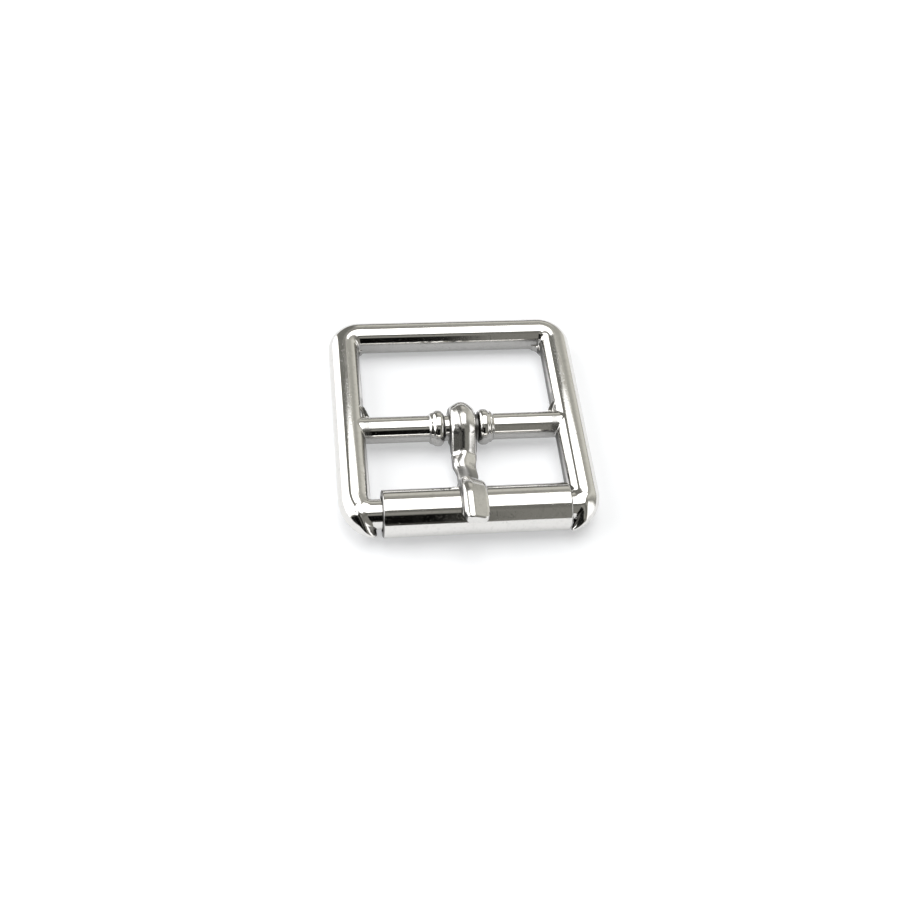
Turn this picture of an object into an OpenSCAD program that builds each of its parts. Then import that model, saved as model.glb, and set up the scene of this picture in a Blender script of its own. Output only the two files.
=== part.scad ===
// Roller buckle for a flat strap: a cast frame with a centre bar, a loose roller on its front bar,
// and a hooked prong that turns on the centre bar and rests on the roller.
// Across the strap is X, the front with the roller is -Y, and the buckle lies on the plane z = 0.

/* [Frame] */
// Clear width between the two arms, which is the width of the strap
strap_w = 20; // [16:0.5:30]
// Diameter of the round rod that the rim is made of
rim_d = 3.28; // [3:0.02:3.6]
// Plan radius on the inside of the rim's corners
corner_in_r = 0.15; // [0.05:0.05:1]
// From the centre bar's axis to the back bar's axis
back_span = 12.7; // [10:0.1:18]
// From the centre bar's axis to the front bar's axis
front_span = 10.4; // [9.6:0.1:14]
// Diameter of the front bar, inside the roller
front_bar_d = 3.1; // [2.8:0.05:3.2]

/* [Noses] */
// From the front bar's axis to the front of the noses at its ends
nose_reach = 2.85; // [2.4:0.05:2.9]
// From the middle of the frame to the tip of the left nose
nose_tip_left = 9.75; // [9.6:0.05:9.9]
// From the middle of the frame to the tip of the right nose
nose_tip_right = 10.15; // [10:0.05:10.3]
// Angle in plan of the cut on the inside of each nose
nose_cut_angle = 27; // [20:1:32]
// Width of the bevel along the top of that cut
nose_bevel = 0.45; // [0.2:0.05:0.6]

/* [Centre bar] */
// Diameter of the centre bar
bar_d = 2.8; // [2.6:0.05:3]
// Diameter of its neck, which the prong turns on
neck_d = 2.7; // [2.4:0.05:2.8]
// Length of the neck, between the two collars
neck_l = 3.6; // [3.4:0.1:4]
// Diameter of the collars that keep the prong in the middle
collar_d = 3.8; // [3.4:0.05:4.2]
// Width of each collar
collar_w = 1.2; // [0.9:0.05:1.6]
// Radius of the collars' rounded edges
collar_round = 0.35; // [0.1:0.05:0.4]
// Diameter of the small step on the outside of each collar
step_d = 3.3; // [3.1:0.05:3.4]
// Width of that step
step_w = 0.3; // [0.2:0.05:0.5]
// Length along the bar of the webs behind its ends
web_l = 0.85; // [0.5:0.05:1.2]
// Length along the arm of those webs
web_w = 1.25; // [0.8:0.05:1.6]
// Thickness of those webs
web_t = 1.2; // [0.8:0.1:1.6]
// Distance of the webs' feet from the centre bar's axis
web_foot = 1.12; // [0.8:0.02:1.2]

/* [Roller] */
// Wall of the roller's tube
roller_wall = 0.6; // [0.45:0.05:0.8]
// Radial room between the front bar and the roller's bore
roller_play = 0.28; // [0.1:0.02:0.4]
// Total room at the roller's two ends
roller_end_play = 0.95; // [0.6:0.05:1.4]
// Gap left at the roller's right end, where it has slid to
roller_rest_gap = 0.06; // [0.05:0.01:0.3]
// Radius of the roller's rounded end edges
roller_round = 0.2; // [0.1:0.05:0.25]

/* [Prong] */
// Width of the prong's hook
prong_w = 2.8; // [2.4:0.1:3.2]
// Wall of the hook at its crown
hook_wall = 1.05; // [0.8:0.05:1.2]
// How much the hook's outside falls from its crown to its edges
hook_crown = 0.38; // [0.1:0.02:0.45]
// Radial room between the neck and the hook's bore
hook_play = 0.08; // [0.04:0.01:0.1]
// Sideways place of the prong, right of the middle
prong_shift = 0.12; // [-0.2:0.02:0.25]
// How far below the level of the bar the hook's end stops short of the shank, in degrees
hook_end_angle = 40; // [36:1:60]
// Gap between the table and the hook, whose underside is flattened to clear it
hook_table_gap = 0.1; // [0.05:0.05:0.2]
// Slope of the heel, from the hook's crown down to the shank, in degrees
heel_slope = 45; // [35:1:55]
// Height of the shank's top over the centre bar's axis
shank_top = 0.5; // [0.3:0.05:0.8]
// Thickness of the shank
shank_t = 1.25; // [1.2:0.05:1.4]
// Length of the full-width shelf at the foot of the heel
shelf_l = 1.8; // [1.4:0.1:2.2]
// Width of the waist between the shelf and the tip
waist_w = 2.5; // [2.2:0.05:2.8]
// Width of the flat along the top of the waist
waist_top_w = 1.3; // [1:0.1:1.8]
// How far that flat lies below the top of the shelf
waist_step = 0.1; // [0.1:0.05:0.2]
// How much the waist's sides fall from that flat
waist_fall = 0.6; // [0.3:0.05:0.8]
// Width of the tip
tip_w = 2.6; // [2.2:0.1:2.8]
// Thickness of the tip at its ridge
tip_t = 1.2; // [1:0.05:1.4]
// How much the tip's two upper faces fall from the ridge to the sides
tip_fall = 0.35; // [0.1:0.05:0.5]
// Depth of the shallow seat in the tip's underside, which fits the roller
tip_seat = 0.1; // [0.05:0.05:0.2]
// How far the tip's end stands in front of the front bar's axis
tip_reach = 3.05; // [2.6:0.05:3.4]
// Gap between the tip and the roller that it rests on
tip_gap = 0.08; // [0.05:0.01:0.15]
// Downward slope of the tip towards its end, in degrees
tip_slope = 6; // [2:1:10]
// How far the axis of the round back lies in front of the roller's axis
tip_round_ahead = 0.25; // [0.1:0.05:0.4]
// How far the axis of the round back lies above the roller's axis
tip_round_up = 0.2; // [0:0.05:0.4]
// How far the round back runs on below its own axis, in degrees
tip_round_under = 10; // [0:1:14]

/* [Hidden] */
$fn = 96;

rim_r = rim_d / 2;
front_bar_r = front_bar_d / 2;
bar_r = bar_d / 2;
roller_r = front_bar_r + roller_play + roller_wall;
hook_bore_r = neck_d / 2 + hook_play;
hook_r = hook_bore_r + hook_wall;

// The rim's centre line: half its width, and the radius of its corners
arm_x = strap_w / 2 + rim_r;
bend_r = corner_in_r + rim_r;
bend_x = arm_x - bend_r;
back_bend_y = back_span - bend_r;
nose_bend_y = bend_r + rim_r - front_span - nose_reach;

// The frame rests on the back bar and on the roller, which is the thicker, so it tips back a little
rest_tilt = asin((roller_r - rim_r) / (back_span + front_span));
bar_z = rim_r + back_span * sin(rest_tilt);

// The arm or the nose's tip, whichever is nearer, stops the roller at each end; it has slid right
left_stop_x = min(strap_w / 2, nose_tip_left);
right_stop_x = min(strap_w / 2, nose_tip_right);
roller_l = left_stop_x + right_stop_x - roller_end_play;
roller_x = right_stop_x - roller_rest_gap - roller_l / 2;

// Where two faces of the prong flow together they cross at this small angle
crease = 3;

// The heel leaves the hook's crown and runs down through the shank's top
heel_r = hook_r * cos(crease);
heel_start = [-heel_r * sin(heel_slope), heel_r * cos(heel_slope)];
heel_t = hook_wall + hook_bore_r / 5;
heel_end_z = shank_top - shank_t / 6;
heel_l = (heel_start[1] - heel_end_z) / sin(heel_slope);
shelf_start_y = heel_start[0] - (heel_start[1] - shank_top) / tan(heel_slope);
shelf_end_y = shelf_start_y - shelf_l;

// The tip's back is round about a line near the roller's axis, and its top runs on from there
tip_under_r = roller_r + tip_gap;
tip_round_y = -front_span - tip_round_ahead;
tip_round_r = tip_under_r + tip_t - tip_round_up;
tip_top_r = tip_round_r * cos(crease);
tip_start_y = tip_round_y - tip_top_r * sin(tip_slope);
tip_start_z = tip_round_up + tip_top_r * cos(tip_slope);
tip_end_y = -front_span - tip_reach;
tip_l = (tip_start_y - tip_end_y) / cos(tip_slope);
tip_low_t = tip_t + tip_seat;
tip_end_low_y = tip_end_y + tip_low_t * sin(tip_slope);
tip_end_low_z = tip_start_z - tip_l * sin(tip_slope) - tip_low_t * cos(tip_slope);

// Place of the whole part: its box is centred on the origin
front_reach = max(
    (front_span + nose_reach - rim_r) * cos(rest_tilt) + rim_r,
    front_span * cos(rest_tilt) + roller_r,
    -tip_end_low_y * cos(rest_tilt) - tip_end_low_z * sin(rest_tilt)
);
back_reach = back_span * cos(rest_tilt) + rim_r;
bar_y = (front_reach - back_reach) / 2;

module in_place() {
    translate([0, bar_y, bar_z])
        rotate([-rest_tilt, 0, 0])
            children();
}

// A solid drawn in the Y-Z plane and made w wide across X
module side_plate(w) {
    rotate([90, 0, 90])
        linear_extrude(height = w, center = true)
            children();
}

// A turned solid about X, from an outline whose x is the radius and whose y is the place along X
module turned_on_x() {
    rotate([0, 90, 0])
        rotate_extrude()
            children();
}

module rim_bend(x, y, from_angle) {
    translate([x, y, 0])
        rotate([0, 0, from_angle])
            rotate_extrude(angle = 90)
                translate([bend_r, 0])
                    circle(rim_r);
}

// What is cut from the inside of the right-hand nose, whose tip is at tip_x
module nose_cut(tip_x) {
    tip_y = -front_span - nose_reach;
    over = 1;
    root_x = tip_x + nose_reach * tan(nose_cut_angle);
    over_x = tip_x - over * tan(nose_cut_angle);
    linear_extrude(height = 2 * rim_d, center = true)
        polygon([[0, tip_y - over], [over_x, tip_y - over], [root_x, -front_span], [0, -front_span]]);
}

// The bevel along the cut's top edge, which drops from the top of the rim to the nose's tip
module nose_bevel_cut(tip_x) {
    tip_y = -front_span - nose_reach;
    drop_angle = atan(rim_r * cos(nose_cut_angle) / nose_reach);
    translate([tip_x, tip_y, 0])
        rotate([0, 0, -nose_cut_angle])
            rotate([drop_angle, 0, 0])
                rotate([0, 45, 0])
                    translate([nose_bevel / 2 - rim_d, -rim_d, -rim_d])
                        cube([rim_d, 3 * rim_d, 2 * rim_d]);
}

module nose(tip_x) {
    difference() {
        rim_bend(bend_x, nose_bend_y, -90);
        nose_cut(tip_x);
        nose_bevel_cut(tip_x);
    }
}

module arm() {
    translate([arm_x, nose_bend_y, 0])
        rotate([-90, 0, 0])
            cylinder(r = rim_r, h = back_bend_y - nose_bend_y);
}

module cross_bar(y, r, half_l) {
    translate([-half_l, y, 0])
        rotate([0, 90, 0])
            cylinder(r = r, h = 2 * half_l);
}

// Half of the centre bar's turned outline, from its middle to the right arm
module centre_bar_outline() {
    neck_end = neck_l / 2;
    collar_end = neck_end + collar_w;
    polygon([
        [0, 0], [neck_d / 2, 0], [neck_d / 2, neck_end + collar_round], [bar_r, collar_end],
        [bar_r, arm_x], [0, arm_x]
    ]);
    translate([0, neck_end])
        square([collar_d / 2 - collar_round, collar_w]);
    translate([0, neck_end + collar_round])
        square([collar_d / 2, collar_w - 2 * collar_round]);
    for (along = [neck_end + collar_round, collar_end - collar_round])
        translate([collar_d / 2 - collar_round, along])
            circle(collar_round);
    translate([0, collar_end - collar_round])
        square([step_d / 2, step_w + collar_round]);
}

module centre_bar() {
    for (side = [0, 1])
        mirror([side, 0, 0])
            turned_on_x()
                centre_bar_outline();
}

// The small web behind the right end of the centre bar
module bar_web() {
    inner_x = strap_w / 2;
    hidden_x = inner_x + rim_r;
    top_y = web_foot + web_w;
    linear_extrude(height = web_t, center = true)
        polygon([
            [inner_x - web_l, 0], [inner_x - web_l, web_foot], [inner_x, top_y], [hidden_x, top_y],
            [hidden_x, 0]
        ]);
}

module frame() {
    color([0.80, 0.79, 0.77])
        in_place()
            union() {
                for (side = [0, 1])
                    mirror([side, 0, 0]) {
                        arm();
                        rim_bend(bend_x, back_bend_y, 0);
                        nose(side == 0 ? nose_tip_right : nose_tip_left);
                        bar_web();
                    }
                cross_bar(back_span, rim_r, bend_x);
                cross_bar(-front_span, front_bar_r, arm_x);
                centre_bar();
            }
}

module roller_outline() {
    bore_r = front_bar_r + roller_play;
    half_l = roller_l / 2;
    translate([bore_r, -half_l])
        square([roller_wall - roller_round, roller_l]);
    translate([bore_r, -half_l + roller_round])
        square([roller_wall, roller_l - 2 * roller_round]);
    for (end = [-1, 1])
        translate([roller_r - roller_round, end * (half_l - roller_round)])
            circle(roller_round);
}

module roller() {
    color([0.84, 0.83, 0.81])
        in_place()
            translate([roller_x, -front_span, 0])
                turned_on_x()
                    roller_outline();
}

// Half of a cross-section's crown is an arc that falls by `fall` over half the width
function crown_r(w, fall) = (w * w / 4 + fall * fall) / (2 * fall);

// A flat-sided section whose top is a crown that touches y = top
module crowned_section(w, t, fall, top) {
    intersection() {
        translate([-w / 2, top - t])
            square([w, t]);
        translate([0, top - crown_r(w, fall)])
            circle(crown_r(w, fall));
    }
}

// The same section for a solid turned about X: its top faces away from the axis
module turned_crown(w, inner_r, r, fall) {
    intersection() {
        translate([inner_r, -w / 2])
            square([r - inner_r, w]);
        translate([r - crown_r(w, fall), 0])
            circle(crown_r(w, fall));
    }
}

// A bar of the section below, whose top line starts at y, z and runs forwards down the slope
module forward_bar(y, z, slope, l) {
    translate([0, y, z])
        rotate([90 + slope, 0, 0])
            linear_extrude(height = l)
                children();
}

module waist_section() {
    half_w = waist_w / 2;
    half_top = waist_top_w / 2;
    bottom = waist_step - shank_t;
    polygon([
        [-half_w, bottom], [half_w, bottom], [half_w, -waist_fall],
        [half_top, 0], [-half_top, 0], [-half_w, -waist_fall]
    ]);
}

// A flat-sided section with a ridge at y = 0 and two faces that fall to its sides
module roofed_section(w, t, fall) {
    polygon([[-w / 2, -t], [w / 2, -t], [w / 2, -fall], [0, 0], [-w / 2, -fall]]);
}

// A sector of a solid turned about X: 0 points down, 90 backwards, 180 up and 270 forwards
module sector_on_x(from_angle, to_angle) {
    rotate([0, 90, 0])
        rotate([0, 0, from_angle])
            rotate_extrude(angle = to_angle - from_angle)
                children();
}

module hook() {
    sector_on_x(hook_end_angle - 90, 180 + heel_slope + 2 * crease)
        turned_crown(prong_w, hook_bore_r / 2, hook_r, hook_crown);
    forward_bar(heel_start[0], heel_start[1], heel_slope, heel_l)
        crowned_section(prong_w, heel_t, hook_crown, 0);
}

module shank() {
    waist_l = shelf_end_y - tip_round_y - tip_round_r + hook_wall;
    forward_bar(-bar_r / 2, shank_top, 0, -bar_r / 2 - shelf_end_y)
        crowned_section(prong_w, shank_t, hook_crown, 0);
    forward_bar(shelf_end_y + shank_t / 2, shank_top - waist_step, 0, waist_l + shank_t / 2)
        waist_section();
}

// The tip rises behind the roller, bends over it and ends a little in front of it
module tip() {
    translate([0, tip_round_y, tip_round_up])
        sector_on_x(90 - tip_round_under, 180 + tip_slope + 2 * crease)
            rotate([0, 0, -90])
                translate([0, tip_round_r])
                    roofed_section(tip_w, tip_round_r / 2, tip_fall);
    forward_bar(tip_start_y, tip_start_z, tip_slope, tip_l)
        roofed_section(tip_w, tip_low_t, tip_fall);
}

// All that lies lower than the flat underside of the hook
module under_hook() {
    side = 4 * hook_r;
    translate([-side / 2, bar_y - side / 2, hook_table_gap - side])
        cube(side);
}

module prong() {
    color([0.78, 0.76, 0.73])
        difference() {
            in_place()
                translate([prong_shift, 0, 0])
                    difference() {
                        union() {
                            hook();
                            shank();
                            tip();
                        }
                        cross_bar(0, hook_bore_r, prong_w);
                        cross_bar(-front_span, tip_under_r, prong_w);
                    }
            under_hook();
        }
}

frame();
roller();
prong();
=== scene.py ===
import math
import bpy
import numpy as np
from mathutils import Matrix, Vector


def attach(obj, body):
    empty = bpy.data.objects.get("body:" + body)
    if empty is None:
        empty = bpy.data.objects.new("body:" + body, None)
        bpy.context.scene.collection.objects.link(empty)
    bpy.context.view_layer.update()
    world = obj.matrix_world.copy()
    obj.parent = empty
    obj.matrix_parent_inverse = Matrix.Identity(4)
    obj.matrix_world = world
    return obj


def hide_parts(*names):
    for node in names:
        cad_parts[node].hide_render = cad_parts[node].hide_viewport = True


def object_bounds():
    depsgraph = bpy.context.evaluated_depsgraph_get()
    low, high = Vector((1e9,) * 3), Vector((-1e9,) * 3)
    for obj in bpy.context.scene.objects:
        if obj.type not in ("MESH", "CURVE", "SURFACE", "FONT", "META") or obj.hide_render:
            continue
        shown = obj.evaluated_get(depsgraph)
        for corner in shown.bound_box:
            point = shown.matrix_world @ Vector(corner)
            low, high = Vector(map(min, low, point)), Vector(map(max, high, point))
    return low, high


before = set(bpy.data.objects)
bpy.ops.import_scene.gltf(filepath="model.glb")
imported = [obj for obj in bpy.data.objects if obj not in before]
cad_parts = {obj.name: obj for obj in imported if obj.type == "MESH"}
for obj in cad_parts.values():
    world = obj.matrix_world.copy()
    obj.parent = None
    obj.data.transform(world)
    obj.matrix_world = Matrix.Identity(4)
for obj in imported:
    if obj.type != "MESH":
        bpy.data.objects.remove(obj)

cad_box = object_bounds()
MM = 0.001

# ---- sizes in mm; shapes are worked out in the frame's own plane, about the centre bar
# frame, as in the CAD
STRAP_W = 20.0
RIM_R = 1.64
CORNER_IN_R = 0.15
BACK_SPAN = 12.7
FRONT_SPAN = 10.4
FRONT_BAR_R = 1.55
NOSE_REACH = 2.85
NOSE_ANGLE = math.radians(27)
BAR_R = 1.4
NECK_R = 1.35
NECK_L = 3.6
COLLAR_R = 1.9
COLLAR_W = 1.2
STEP_R = 1.65
STEP_W = 0.3
WEB_L = 0.85
WEB_W = 1.25
WEB_T = 1.2
WEB_FOOT = 1.12

# roller and prong, as in the CAD
ROLLER_R = 2.43
ROLLER_WALL = 0.6
ROLLER_GAP = 0.06
ROLLER_EDGE_R = 0.2
PRONG_W = 2.8
PRONG_SHIFT = 0.12
HOOK_R = 2.48
HOOK_BORE_R = 1.43
HOOK_TABLE_GAP = 0.1
SHANK_TOP = 0.5
SHANK_T = 1.25
TIP_W = 2.6
TIP_UNDER_R = 2.51
TIP_ROUND_Y = -10.65
TIP_ROUND_Z = 0.2
TIP_SLOPE = math.radians(6)

# where the scene departs from the CAD's simpler forms; a pair is the left side's value and the right's
SHOULDER_R = 1.5
FRONT_BAR_END = 11.4
ROLLER_L = 18.93
NOSE_BEND = (3.1, 2.5)
NOSE_TIP = (9.02, 9.65)
NOSE_CUT_ROUND = 0.45
NOSE_CUT_ROUND_MORE = (0.8, 0.0)
NOSE_FACE = ((0.537, -0.640, 0.55), (0.51, -0.49, 0.707))
NOSE_FACE_AT = (14.12, 12.33)
NOSE_INNER = (-0.50, -0.42, 0.757)
NOSE_INNER_AT = (0.28, 0.10)
WEB_TOP_Y = 1.2
WEB_TOP_Z = 0.15
WEB_TOP_SLOPE = 0.9
FILLET_R = (0.6, 1.0)
FILLET_TRIM = 0.25
FILLET_Z = -0.55
FILLET_HALF_H = 0.4
HOOK_BEHIND = 0.87
SHELF_TOP = 0.25
SHELF_END_Y = -4.8
WAIST_SLOPE = 0.53
WAIST_LOW = -0.5
WAIST_SHIFT = 0.2
WAIST_NARROWER = 0.16
WAIST_UNDER = 0.35
SHANK_END_Y = -7.6
TIP_ROUND_R = 3.51
TIP_T = 1.3
TIP_END_Y = -13.40
TIP_END_R = 0.75
TIP_END_HALF_FLAT = 0.55
TIP_LOW = -1.1
# the prong's top falls from a ridge: the ridge's place, and the slopes to its left and right
TOP_RIDGE_X = 0.12
TOP_RIDGE_SHIFT = 0.45
TOP_FALL = (0.50, 0.70)
TOP_FALL_LESS = 0.20
TIP_RIDGE_X = -0.62
TIP_FALL = (0.50, 0.34)

# the whole skin lies this far inside, so that it stays within the CAD's box
FRAME_INSET = 0.002
PRONG_INSET = 0.004

ARM_X = STRAP_W / 2 + RIM_R
BEND_R = CORNER_IN_R + RIM_R
NOSE_LINE_Y = RIM_R - FRONT_SPAN - NOSE_REACH
TILT = math.asin((ROLLER_R - RIM_R) / (BACK_SPAN + FRONT_SPAN))
BAR_Z = RIM_R + BACK_SPAN * math.sin(TILT)
# the back of the rim tells where the centre bar's axis lies in the row frame
BAR_Y = cad_box[1][1] / MM - RIM_R - BACK_SPAN * math.cos(TILT)


# ---- fields: the distance to a surface, below zero inside
def smin(a, b, k):
    """The lower of two fields, rounded where they cross, over about k."""
    h = np.clip(0.5 + 0.5 * (b - a) / k, 0.0, 1.0)
    return b + (a - b) * h - k * h * (1.0 - h)


def smax(a, b, k):
    """The higher of two fields, rounded where they cross, over about k."""
    return -smin(-a, -b, k)


def highest(*fields):
    """What all the fields have in common, with sharp edges."""
    out = fields[0]
    for field in fields[1:]:
        out = np.maximum(out, field)
    return out


def round_box(x, y, half_x, half_y, r):
    """A rectangle whose corners are rounded by r."""
    qx = np.abs(x) - (half_x - r)
    qy = np.abs(y) - (half_y - r)
    return np.hypot(np.maximum(qx, 0), np.maximum(qy, 0)) + np.minimum(np.maximum(qx, qy), 0) - r


def along(normal, x, y, z):
    """How far a point lies along a plane's normal."""
    return x * normal[0] + y * normal[1] + z * normal[2]


def by_side(x, pair):
    """The left side's value or the right side's."""
    return np.where(x < 0, pair[0], pair[1])


def ease(v, low, high):
    """0 below low, 1 above high, smooth between."""
    t = np.clip((v - low) / (high - low), 0.0, 1.0)
    return t * t * (3 - 2 * t)


# ---- the frame
def rod_section(side, z):
    """The rim's section: round outside, with a slightly fuller shoulder towards the window."""
    full = round_box(side, z, RIM_R, RIM_R, SHOULDER_R)
    return np.where(side < 0, full, np.hypot(side, z) - RIM_R)


def rim(x, y, z):
    """A loop of rod with round corners, open in front between the two noses.

    Each nose is the rod bent in at the corner, the left one more gently, with a bevel inside and a
    slanting cut at its tip.
    """
    ax = np.abs(x)
    mid_y = (BACK_SPAN + NOSE_LINE_Y) / 2
    bend = np.where(y > 0, BEND_R, by_side(x, NOSE_BEND))
    side = round_box(ax, y - mid_y, ARM_X, BACK_SPAN - mid_y, bend)
    rod = smax(rod_section(side, z), along(NOSE_INNER, ax, y, z) - by_side(x, NOSE_INNER_AT), 0.30)
    tip_y = -FRONT_SPAN - NOSE_REACH
    cut = (ax - by_side(x, NOSE_TIP)) * math.cos(NOSE_ANGLE) - (y - tip_y) * math.sin(NOSE_ANGLE)
    edge = NOSE_CUT_ROUND + by_side(x, NOSE_CUT_ROUND_MORE) * ease(-y, 11.9, 12.8)
    return smax(rod, -np.maximum(cut, y + FRONT_SPAN), edge)


def nose_faces(x, y, z):
    """The slanting face on the outside of each nose."""
    ax = np.abs(x)
    left, right = (along(normal, ax, y, z) for normal in NOSE_FACE)
    return np.where(x < 0, left, right) - by_side(x, NOSE_FACE_AT)


def centre_bar(ax, rho):
    """The bar with its neck, and on each side of the neck a collar and its step."""
    inside_collar = NECK_L / 2 + 0.3
    bar = smax(rho - np.where(ax < inside_collar, NECK_R, BAR_R), ax - ARM_X, 0.05)
    collar = round_box(ax - NECK_L / 2 - COLLAR_W / 2, rho, COLLAR_W / 2, COLLAR_R, 0.5)
    # the step starts a little inside the collar
    sunk = 0.1
    step = round_box(ax - NECK_L / 2 - COLLAR_W + sunk, rho, STEP_W + sunk, STEP_R, 0.2)
    return smin(smin(bar, collar, 0.10), step, 0.15)


def webs(ax, y, z):
    """The small webs behind the bar's ends; their tops slope up to the back."""
    foot_x = STRAP_W / 2 - WEB_L
    plan = highest((y - WEB_FOOT) - (ax - foot_x) * (WEB_W / WEB_L), foot_x - ax, -y)
    # 0.6 and 0.74 bring the slanting faces' slopes back to about one
    web = highest(plan * 0.6, y - WEB_FOOT - WEB_W, -WEB_T / 2 - z, ax - ARM_X)
    return smax(web, (z - WEB_TOP_Z - WEB_TOP_SLOPE * (y - WEB_TOP_Y)) * 0.74, 0.1)


def window_fillets(x, y, z):
    """Small fillets low in the window's back corners."""
    ax, r = np.abs(x), by_side(x, FILLET_R)
    fx = ax - (ARM_X - RIM_R - r)
    fy = y - (BACK_SPAN - RIM_R - r)
    round_in = r - np.hypot(np.maximum(fx, 0), np.maximum(fy, 0))
    level_band = np.abs(z - FILLET_Z) - FILLET_HALF_H
    return highest(round_in, FILLET_TRIM - np.minimum(fx, fy), level_band, y - BACK_SPAN, ax - ARM_X)


def frame_field(p):
    """The whole casting: the rim and front bar cut by the noses' faces, the centre bar, webs and fillets."""
    x, y, z = p.T
    ax = np.abs(x)
    front = smax(np.hypot(y + FRONT_SPAN, z) - FRONT_BAR_R, ax - FRONT_BAR_END, 0.05)
    f = smax(smin(rim(x, y, z), front, 0.20), nose_faces(x, y, z), 0.25)
    f = smin(f, centre_bar(ax, np.hypot(y, z)), 0.12)
    f = smin(f, webs(ax, y, z), 0.12)
    return smin(f, window_fillets(x, y, z), 0.35) + FRAME_INSET


# ---- the prong
def roof(x, ridge, left, right, k):
    """How far a two-faced top falls from its ridge; left and right are the faces' slopes."""
    return smax((ridge - x) * left, (x - ridge) * right, k) - k / 4


def hook(x, y, z):
    """The hook round the neck, a little longer behind."""
    fall = roof(x, TOP_RIDGE_X, *TOP_FALL, 0.9)
    reach = np.hypot(y * np.where(y > 0, HOOK_BEHIND, 1.0), z)
    ring = smax(reach - HOOK_R + fall, np.abs(x) - PRONG_W / 2, 0.45)
    # it is open in front, from the shank's underside to 40 degrees below the bar's level
    gap = highest(0.643 * y - 0.766 * z, z + SHANK_T - SHANK_TOP, y)
    return smax(ring, -gap, 0.15)


def shank(x, y, z):
    """A heel at 45 degrees, a short shelf, and a waist that runs down to the tip."""
    # towards the waist it grows narrower and shifts to the right
    waist = ease(-y, 4.6, 5.9)
    wx = x - WAIST_SHIFT * waist
    shelf = smin(SHELF_TOP + 0 * y, SHELF_TOP + (y - SHELF_END_Y) * WAIST_SLOPE, 0.15)
    shelf = smax(shelf, WAIST_LOW + 0 * y, 0.15)
    heel = y + HOOK_R * math.sqrt(2)
    top = smax(heel, shelf, 0.3)
    # this brings the field's slope back to about one
    steep = 1 / np.sqrt(1 + np.where(heel > shelf, 1.0, 0.1))
    under = SHANK_TOP - SHANK_T - WAIST_UNDER * ease(-y, 5.0, 6.4)
    ridge = TOP_RIDGE_X - TOP_RIDGE_SHIFT * ease(-y, 3.0, 4.6)
    crown = roof(wx, ridge, TOP_FALL[0], TOP_FALL[1] - TOP_FALL_LESS * waist, 0.8)
    wall = np.abs(wx) - PRONG_W / 2 + WAIST_NARROWER * waist
    body = smax((z - top) * steep + crown, wall, 0.4)
    body = smax(body, under - z, 0.25)
    # it ends under the tip in front, and inside the hook behind
    return highest(body, SHANK_END_Y - y, (y + z) * math.sqrt(0.5) - 0.05)


def tip(x, y, z):
    """Round behind the roller, then two faces that run down over it to a rounded end."""
    ax = np.abs(x)
    fall = roof(x, TIP_RIDGE_X, *TIP_FALL, 0.4)
    radius = np.hypot(y - TIP_ROUND_Y, z - TIP_ROUND_Z)
    turn_y = TIP_ROUND_Y - TIP_ROUND_R * math.sin(TIP_SLOPE)
    slant = (z - TIP_ROUND_Z) * math.cos(TIP_SLOPE) - (y - TIP_ROUND_Y) * math.sin(TIP_SLOPE) - TIP_ROUND_R
    skin = np.where(y > turn_y, radius - TIP_ROUND_R, slant)
    body = smax(skin + fall, ax - TIP_W / 2, 0.35)
    body = smax(body, np.where(y < turn_y, -TIP_T - slant, -10.0), 0.3)
    end_y = TIP_END_Y + TIP_END_R
    end = np.hypot(np.maximum(ax - TIP_END_HALF_FLAT, 0), np.minimum(y - end_y, 0)) - TIP_END_R
    body = smax(body, np.where(y < end_y, end, -10.0), 0.3)
    return smax(body, TIP_LOW - z, 0.2)


def prong_field(p):
    """The whole prong, hollowed for the roller and the neck."""
    x, y, z = p[:, 0] - PRONG_SHIFT, p[:, 1], p[:, 2]
    f = np.minimum(hook(x, y, z), shank(x, y, z))
    f = smin(f, tip(x, y, z), 0.35)
    f = smax(f, TIP_UNDER_R - np.hypot(y + FRONT_SPAN, z), 0.10)
    f = smax(f, HOOK_BORE_R - np.hypot(y, z), 0.06)
    # nothing is lower than the flat underside of the hook, which clears the table
    table = HOOK_TABLE_GAP - BAR_Z + math.sin(TILT) * y
    return np.maximum(f, table - z) + PRONG_INSET


# ---- from a field to a mesh
CORNERS = ((0, 0), (1, 0), (0, 1), (1, 1))
GRADIENT_STEP = 0.008
SETTLE_ROUNDS = 4
SETTLE_REACH = 0.4
LEAST_SLOPE = 0.05


def cell_edges():
    """The 12 edges of a unit cell, as pairs of its corners."""
    for axis in range(3):
        for corner in CORNERS:
            low, high = list(corner), list(corner)
            low.insert(axis, 0)
            high.insert(axis, 1)
            yield low, high


def gradient(field, p):
    g = np.empty_like(p)
    for axis in range(3):
        d = np.zeros(3)
        d[axis] = GRADIENT_STEP
        g[:, axis] = (field(p + d) - field(p - d)) / (2 * GRADIENT_STEP)
    return g


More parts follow.
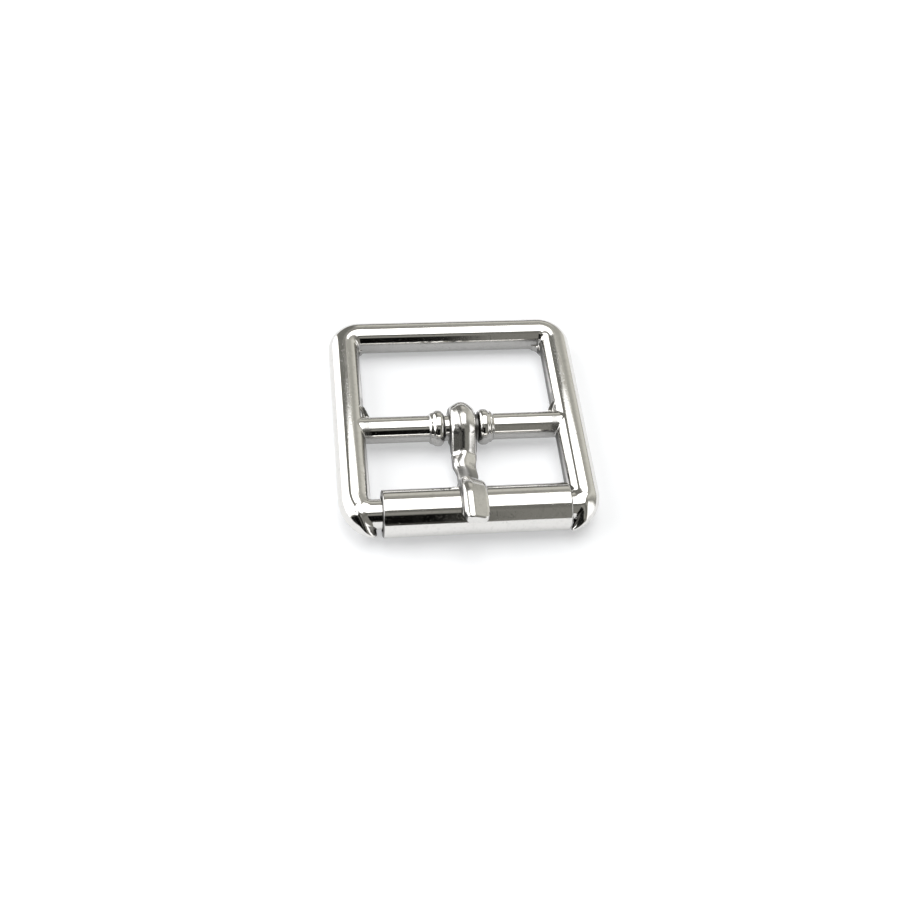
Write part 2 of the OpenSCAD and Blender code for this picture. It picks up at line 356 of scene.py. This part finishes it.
def skin_of(field, low, high, cell):
    """Vertices, quads and normals of the surface where the field is zero."""
    low = np.array(low, float)
    count = np.ceil((np.array(high) - low) / cell).astype(int) + 1
    axes = [low[i] + cell * np.arange(count[i]) for i in range(3)]
    grid = np.stack(np.meshgrid(*axes, indexing="ij"), -1).reshape(-1, 3)
    value = field(grid).reshape(count)
    inside = value < 0
    # one vertex in each cell that the surface crosses, in the middle of its crossings
    cells = count - 1
    total = np.zeros((*cells, 3))
    hits = np.zeros(cells)
    for a, b in cell_edges():
        va, vb = (value[tuple(slice(c[i], c[i] + cells[i]) for i in range(3))] for c in (a, b))
        cross = (va < 0) != (vb < 0)
        t = np.where(cross, va / np.where(cross, va - vb, 1), 0)
        for i in range(3):
            total[..., i] += np.where(cross, a[i] + t * (b[i] - a[i]), 0)
        hits += cross
    used = hits > 0
    index = np.full(cells, -1)
    index[used] = np.arange(used.sum())
    place = np.argwhere(used) + total[used] / hits[used][:, None]
    verts = low + place * cell
    # one quad round each grid edge that the surface crosses
    quads = []
    for axis in range(3):
        u, v = (axis + 1) % 3, (axis + 2) % 3
        first = [slice(None)] * 3
        second = [slice(None)] * 3
        first[axis] = slice(0, -1)
        second[axis] = slice(1, None)
        a, b = inside[tuple(first)], inside[tuple(second)]
        at = np.argwhere(a != b)
        at = at[(at[:, u] > 0) & (at[:, v] > 0) & (at[:, u] < cells[u]) & (at[:, v] < cells[v])]
        ring = []
        for du, dv in ((1, 1), (0, 1), (0, 0), (1, 0)):
            c = at.copy()
            c[:, u] -= du
            c[:, v] -= dv
            ring.append(index[tuple(c.T)])
        quad = np.stack(ring, 1)
        flip = ~a[tuple(at.T)]
        quad[flip] = quad[flip][:, ::-1]
        quads.append(quad)
    # the vertices settle onto the surface, a short way at a time
    for _ in range(SETTLE_ROUNDS):
        g = gradient(field, verts)
        move = field(verts)[:, None] * g / np.maximum((g * g).sum(1, keepdims=True), LEAST_SLOPE)
        verts -= np.clip(move, -SETTLE_REACH * cell, SETTLE_REACH * cell)
    g = gradient(field, verts)
    return verts, np.concatenate(quads), g / np.linalg.norm(g, axis=1, keepdims=True)


def place_in_row(points, moved=True):
    """From the frame's own plane to the row frame, in metres; moved is False for directions."""
    c, s = math.cos(TILT), math.sin(TILT)
    x, y, z = points.T
    out = np.stack([x, y * c + z * s, z * c - y * s], 1)
    return (out + [0, BAR_Y, BAR_Z]) * MM if moved else out


def mesh_object(name, verts, quads, normals):
    """A smooth mesh object, from shapes given in the frame's own plane."""
    mesh = bpy.data.meshes.new(name)
    mesh.from_pydata(place_in_row(verts).tolist(), [], quads.tolist())
    mesh.polygons.foreach_set("use_smooth", np.ones(len(mesh.polygons), bool))
    mesh.update()
    mesh.normals_split_custom_set_from_vertices(place_in_row(normals, moved=False).tolist())
    obj = bpy.data.objects.new(name, mesh)
    bpy.context.scene.collection.objects.link(obj)
    return obj


# ---- the roller
ROLLER_STEPS = 160
ROLLER_EDGE_STEPS = 8
ROLLER_RINGS = 22


def roller_profile():
    """Round the tube's wall once: radius, place along X, and the normal's share of each."""
    half, edge, bore = ROLLER_L / 2, ROLLER_EDGE_R, ROLLER_R - ROLLER_WALL
    ends = []
    for end in (-1, 1):
        ends.append([(bore, end * half, 0.0, float(end))])
        for i in range(ROLLER_EDGE_STEPS + 1):
            a = math.pi / 2 * i / ROLLER_EDGE_STEPS
            r = ROLLER_R - edge + edge * math.sin(a)
            x = end * (half - edge + edge * math.cos(a))
            ends[-1].append((r, x, math.sin(a), end * math.cos(a)))
    left, right = ends
    rings = np.linspace(-half + edge, half - edge, ROLLER_RINGS + 2)[1:-1]
    outside = [(ROLLER_R, x, 1.0, 0.0) for x in rings]
    inside = [(bore, half, -1.0, 0.0), (bore, -half, -1.0, 0.0)]
    return left + outside + right[::-1] + inside


def roller_mesh():
    """The tube, turned from its profile about the front bar's axis."""
    profile = roller_profile()
    centre = STRAP_W / 2 - ROLLER_GAP - ROLLER_L / 2
    verts, normals, quads = [], [], []
    for k in range(ROLLER_STEPS):
        a = 2 * math.pi * k / ROLLER_STEPS
        c, s = math.cos(a), math.sin(a)
        for r, x, normal_r, normal_x in profile:
            verts.append((centre + x, -FRONT_SPAN + r * c, r * s))
            normals.append((normal_x, normal_r * c, normal_r * s))
    n = len(profile)
    for k in range(ROLLER_STEPS):
        here, there = k * n, (k + 1) % ROLLER_STEPS * n
        for i in range(n - 1):
            # where the profile turns a sharp corner, two points share a place
            if profile[i][:2] != profile[i + 1][:2]:
                quads.append((here + i, there + i, there + i + 1, here + i + 1))
    return np.array(verts), np.array(quads), np.array(normals)


# ---- the three pieces; the grids' cells are in mm too
FRAME_CELL = 0.135
FRAME_GRID = ((-13.6, -14.1, -2.0), (13.6, 14.6, 2.0))
PRONG_CELL = 0.065
PRONG_GRID = ((-1.6, -13.8, -2.6), (1.9, 3.1, 4.1))

frame_skin = mesh_object("frame_casting", *skin_of(frame_field, *FRAME_GRID, FRAME_CELL))
prong_skin = mesh_object("prong_skin", *skin_of(prong_field, *PRONG_GRID, PRONG_CELL))
roller_skin = mesh_object("roller_tube", *roller_mesh())

for obj, body in ((frame_skin, "frame"), (prong_skin, "prong"), (roller_skin, "roller")):
    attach(obj, body)
    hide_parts(body)


# ---- materials
class Graph:
    """Small helper that writes node maths as expressions."""

    def __init__(self, tree):
        self.tree = tree

    def put(self, socket, value):
        if isinstance(value, (int, float)):
            socket.default_value = value
        else:
            self.tree.links.new(value, socket)

    def math(self, op, a, b=None):
        """One maths node; b is left out where it takes a single value."""
        n = self.tree.nodes.new("ShaderNodeMath")
        n.operation = op
        for i, v in enumerate((a, b)):
            if v is not None:
                self.put(n.inputs[i], v)
        return n.outputs[0]

    def ramp(self, v, lo, hi, a=0.0, b=1.0, kind="SMOOTHSTEP"):
        """a below lo, b above hi."""
        n = self.tree.nodes.new("ShaderNodeMapRange")
        n.interpolation_type = kind
        for key, val in (("Value", v), ("From Min", lo), ("From Max", hi), ("To Min", a), ("To Max", b)):
            self.put(n.inputs[key], val)
        return n.outputs["Result"]

    def up(self, v, lo, hi):
        """0 below lo, 1 above hi."""
        return self.ramp(v, lo, hi)

    def off(self, v, lo, hi):
        """1 below lo, 0 above hi."""
        return self.ramp(v, lo, hi, 1.0, 0.0)

    def both(self, *parts):
        """Masks multiplied together."""
        out = parts[0]
        for part in parts[1:]:
            out = self.math("MULTIPLY", out, part)
        return out

    def either(self, *parts):
        """The highest of some masks."""
        out = parts[0]
        for part in parts[1:]:
            out = self.math("MAXIMUM", out, part)
        return out

    def abs(self, v):
        return self.math("ABSOLUTE", v)

    def mix(self, fac, a, b):
        """a where fac is 0, b where it is 1."""
        n = self.tree.nodes.new("ShaderNodeMix")
        n.data_type = "FLOAT"
        self.put(n.inputs["Factor"], fac)
        self.put(n.inputs["A"], a)
        self.put(n.inputs["B"], b)
        return n.outputs["Result"]

    def split(self, vector):
        n = self.tree.nodes.new("ShaderNodeSeparateXYZ")
        self.tree.links.new(vector, n.inputs[0])
        return tuple(n.outputs)

    def noise(self, vector, scale, detail, roughness=0.5):
        n = self.tree.nodes.new("ShaderNodeTexNoise")
        n.inputs["Scale"].default_value = scale
        n.inputs["Detail"].default_value = detail
        n.inputs["Roughness"].default_value = roughness
        self.tree.links.new(vector, n.inputs["Vector"])
        return n.outputs["Fac"]

    def bump(self, height, distance, normal=None):
        n = self.tree.nodes.new("ShaderNodeBump")
        n.inputs["Strength"].default_value = 1.0
        n.inputs["Distance"].default_value = distance
        self.tree.links.new(height, n.inputs["Height"])
        if normal is not None:
            self.tree.links.new(normal, n.inputs["Normal"])
        return n.outputs["Normal"]


TONE = {"Red": 0.705, "Green": 0.695, "Blue": 0.675}
# roughness, and the colour's painted-shade darkening, on the faces that each material's last argument picks
DULL_ROUGH = 0.38
PAINTED_SHADE_TONE = 0.16
# sizes of the noises, in waves to a metre
WAVE_SCALE = 150
CLOUD_SCALE = 420
GRAIN_SCALE = 2600
SPECK_SCALE = 5200


def nickel(name, rough, wave, pits, pick_dull_and_shaded):
    """Plated, polished metal: slow waves, fine pits, uneven gloss and small dull specks.

    The last argument picks the faces that are made duller and darker: painted shade on the frame and the
    prong, and the roller's ends; wave and pits are heights in metres.
    """
    mat = bpy.data.materials.new(name)
    mat.use_nodes = True
    tree = mat.node_tree
    bsdf = tree.nodes["Principled BSDF"]
    bsdf.inputs["Metallic"].default_value = 1.0
    g = Graph(tree)
    coord = tree.nodes.new("ShaderNodeTexCoord")
    spot = coord.outputs["Object"]
    grain = g.noise(spot, GRAIN_SCALE, 4, 0.6)
    # the picked faces, made duller and darker; on the frame and prong that darkness is painted shade
    dull_and_shaded = pick_dull_and_shaded(g, g.split(spot), g.split(coord.outputs["Normal"]))
    gloss = g.ramp(g.noise(spot, CLOUD_SCALE, 3), 0.3, 0.7, rough * 0.75, rough * 1.35)
    specks = g.ramp(g.noise(spot, SPECK_SCALE, 3, 0.65), 0.33, 0.395, 0.26, 0.0)
    g.put(bsdf.inputs["Roughness"], g.mix(dull_and_shaded, g.either(gloss, specks), DULL_ROUGH))
    # the grain's random tone, times the darkening on the picked faces (painted shade)
    tone_and_painted_shade = g.both(g.ramp(grain, 0.32, 0.5, 0.93, 1.0), g.mix(dull_and_shaded, 1.0, PAINTED_SHADE_TONE))
    paint = tree.nodes.new("ShaderNodeCombineColor")
    for key, part in TONE.items():
        g.put(paint.inputs[key], g.both(tone_and_painted_shade, part))
    tree.links.new(paint.outputs[0], bsdf.inputs["Base Color"])
    waves = g.bump(g.noise(spot, WAVE_SCALE, 1), wave)
    pitted = g.bump(g.ramp(grain, 0.28, 0.45, kind="LINEAR"), pits, waves)
    tree.links.new(pitted, bsdf.inputs["Normal"])
    return mat


# in the next three, place is in metres and facing is the surface's normal, both at rest
def frame_painted_shade(g, place, facing):
    """Painted shade on the frame: the arms' inner walls below their widest line, the bars' low faces, the
    webs and the right neck are made darker and duller, where shade falls.
    """
    x, y, _ = place
    wide = g.abs(x)
    inward = g.both(g.math("SIGN", x), g.both(facing[0], -1.0))
    arms = g.both(g.up(inward, 0.72, 0.90), g.off(facing[2], 0.12, 0.48))
    low = g.both(g.off(facing[1], -0.55, -0.30), g.off(facing[2], 0.34, 0.46))
    low = g.both(low, g.ramp(y, -0.0045, -0.0035, 0.0, 0.55))
    # the webs behind the bar's ends, and the bar's root in front of them, painted darker as shade
    ends = g.both(g.up(wide, 0.0092, 0.0097), g.off(wide, 0.0100, 0.0105))
    web = g.both(ends, g.up(y, 0.0009, 0.0013), g.ramp(y, 0.0030, 0.0034, 0.75, 0.0))
    root = g.both(ends, g.off(y, -0.0006, -0.0002), g.ramp(y, -0.0022, -0.0018, 0.0, 0.6))
    neck = g.both(g.up(x, 0.0013, 0.0015), g.ramp(x, 0.0018, 0.0019, 0.9, 0.0))
    neck = g.both(neck, g.off(g.abs(y), 0.003, 0.0035))
    return g.either(arms, low, web, root, neck)


def prong_painted_shade(g, place, facing):
    """Painted shade on the prong: its side walls and its waist are made darker and duller, where shade
    falls.
    """
    y = place[1]
    waist = g.both(g.up(y, -0.0084, -0.0076), g.ramp(y, -0.0060, -0.0053, 0.62, 0.0))
    walls = g.both(g.up(g.abs(facing[0]), 0.65, 0.85), g.off(facing[2], 0.25, 0.60))
    return g.either(walls, waist)


def cut_ends(g, place, facing):
    """The roller's two ends, made darker and duller."""
    return g.ramp(g.abs(facing[0]), 0.35, 0.75, 0.0, 0.9)


frame_skin.data.materials.append(nickel("nickel_frame", 0.07, 4e-6, 8e-7, frame_painted_shade))
roller_skin.data.materials.append(nickel("nickel_roller", 0.075, 4e-6, 1e-6, cut_ends))
prong_skin.data.materials.append(nickel("nickel_prong", 0.19, 5e-6, 8e-7, prong_painted_shade))

# ---- floor; its own glow keeps the shade on it as pale as in a bright studio
bpy.ops.mesh.primitive_plane_add(size=1.2, location=(0, 0, 0))
floor = bpy.context.active_object
floor.name = "floor"
paper_mat = bpy.data.materials.new("floor_paper")
paper_mat.use_nodes = True
paper = paper_mat.node_tree.nodes["Principled BSDF"]
paper.inputs["Base Color"].default_value = (0.68, 0.685, 0.70, 1)
paper.inputs["Emission Color"].default_value = (0.98, 0.99, 1.0, 1)
paper.inputs["Emission Strength"].default_value = 0.35
paper.inputs["Roughness"].default_value = 0.9
floor.data.materials.append(paper_mat)

# ---- camera, fitted to the photo's edges
PICTURE_PX = 900
FOCAL_PX = 1290.7568
SENSOR_MM = 36
RIGHT = np.array([0.99173154, -0.09945822, 0.08109636])
UP = np.array([0.03717294, 0.82748553, 0.56025519])
BACK = np.cross(RIGHT, UP)
EYE = np.array([-17.7821601, -76.66076209 + BAR_Y, 112.25527983]) * MM
cam_data = bpy.data.cameras.new("camera")
cam_data.sensor_width = SENSOR_MM
cam_data.lens = FOCAL_PX / PICTURE_PX * SENSOR_MM
cam_data.clip_start = 0.005
cam_data.clip_end = 20
cam = bpy.data.objects.new("camera", cam_data)
cam.matrix_world = Matrix([[RIGHT[i], UP[i], BACK[i], EYE[i]] for i in range(3)] + [[0, 0, 0, 1]])
bpy.context.scene.collection.objects.link(cam)
bpy.context.scene.camera = cam
bpy.context.scene.view_settings.view_transform = "Standard"

# ---- world: a studio of plain walls and lights, which the metal reflects
REFLECT = 0.70
ROOF_LIGHT = 3.3
LEFT_LIGHT = 2.8
RIGHT_LIGHT = 1.6


def level(v):
    """The light a wall must send so that the metal shows it as the picture value v, in sRGB."""
    v = v / 255
    return (v / 12.92 if v <= 0.04045 else ((v + 0.055) / 1.055) ** 2.4) / REFLECT


world = bpy.data.worlds.new("studio")
bpy.context.scene.world = world
world.use_nodes = True
wt = world.node_tree
wt.nodes.clear()
g = Graph(wt)
coord = wt.nodes.new("ShaderNodeTexCoord")
norm = wt.nodes.new("ShaderNodeVectorMath")
norm.operation = "NORMALIZE"
wt.links.new(coord.outputs["Generated"], norm.inputs[0])
sx, sy, sz = g.split(norm.outputs[0])
# phi runs over the sky from the front horizon (0) through the zenith (90) to the back horizon (180)
phi = g.both(g.math("ARCTAN2", sz, g.both(sy, -1.0)), 180 / math.pi)

# front wall: black on the left, grey on the right, a paler line under the roof light
front = g.mix(g.up(phi, 8, 12), level(60), level(6))
front = g.mix(g.up(phi, 46, 54), front, level(135))
front = g.mix(g.up(phi, 60, 66), front, level(95))
grey = g.mix(g.up(phi, 50, 60), level(118), level(104))
front = g.mix(g.up(sx, 0.125, 0.155), front, grey)
front = g.mix(g.off(phi, -6, 0), front, level(30))
sky = g.mix(g.up(phi, 73, 78), front, ROOF_LIGHT)
# behind the roof light: a dark line, then the rear wall
rear = g.mix(g.up(phi, 143, 156), level(143), level(188))
rear = g.mix(g.up(sx, 0.15, 0.75), rear, level(190))
dip = g.mix(g.up(sx, 0.09, 0.14), level(122), level(170))
back = g.mix(g.up(phi, 132, 136), dip, rear)
back = g.mix(g.up(phi, 164, 174), back, level(80))
sky = g.mix(g.up(phi, 127.5, 130.5), sky, back)
# right of the roof light: the right wall, darker towards the front
wall = g.mix(g.up(sx, 0.52, 0.80), level(158), level(196))
wall = g.mix(g.up(sy, -0.12, 0.30), level(126), wall)
sky = g.mix(g.both(g.up(sx, 0.34, 0.42), g.up(phi, 60, 72)), sky, wall)
# light wall on the left, and a dark seam between it and the roof light
sky = g.mix(g.both(g.off(sx, -0.50, -0.42), g.up(sy, -0.42, -0.32)), sky, LEFT_LIGHT)
seam = g.both(g.up(sx, -0.53, -0.45), g.off(sx, -0.31, -0.21), g.up(sy, -0.32, -0.20))
far = g.both(g.up(sx, -0.50, -0.42), g.off(sx, -0.04, 0.06), g.up(phi, 128, 130))
sky = g.mix(g.either(seam, far), sky, level(108))
# a dark line along the foot of the walls on the right
foot = g.both(g.up(sx, 0.76, 0.82), g.up(sy, -0.02, 0.12), g.off(sz, 0.03, 0.09))
sky = g.mix(foot, sky, level(105))
# black corner at the front on the left, grey higher up, then a second, nearly black patch
corner = g.mix(g.up(sz, 0.31, 0.39), level(6), level(78))
near = g.both(g.off(sx, -0.42, -0.25), g.off(sy, -0.45, -0.35), g.off(sz, 0.66, 0.76))
sky = g.mix(near, sky, corner)
patch = g.both(g.off(sx, -0.42, -0.30), g.off(sy, -0.16, -0.06))
patch = g.both(patch, g.up(sz, 0.54, 0.60), g.off(sz, 0.74, 0.84))
sky = g.mix(patch, sky, level(20))
# a pale light at the front on the right
pale = g.both(g.up(sx, 0.80, 0.86), g.up(sy, -0.60, -0.50), g.off(sy, -0.12, -0.06))
sky = g.mix(pale, sky, RIGHT_LIGHT)

# the walls are a little warm, the lights are not
light = wt.nodes.new("ShaderNodeCombineColor")
glow = g.up(sky, 0.8, 1.6)
for key, warm in (("Red", 1.0), ("Green", 0.985), ("Blue", 0.90)):
    wt.links.new(g.both(sky, g.mix(glow, warm, 0.99)), light.inputs[key])
bg = wt.nodes.new("ShaderNodeBackground")
wt.links.new(light.outputs[0], bg.inputs["Color"])
out = wt.nodes.new("ShaderNodeOutputWorld")
wt.links.new(bg.outputs[0], out.inputs["Surface"])
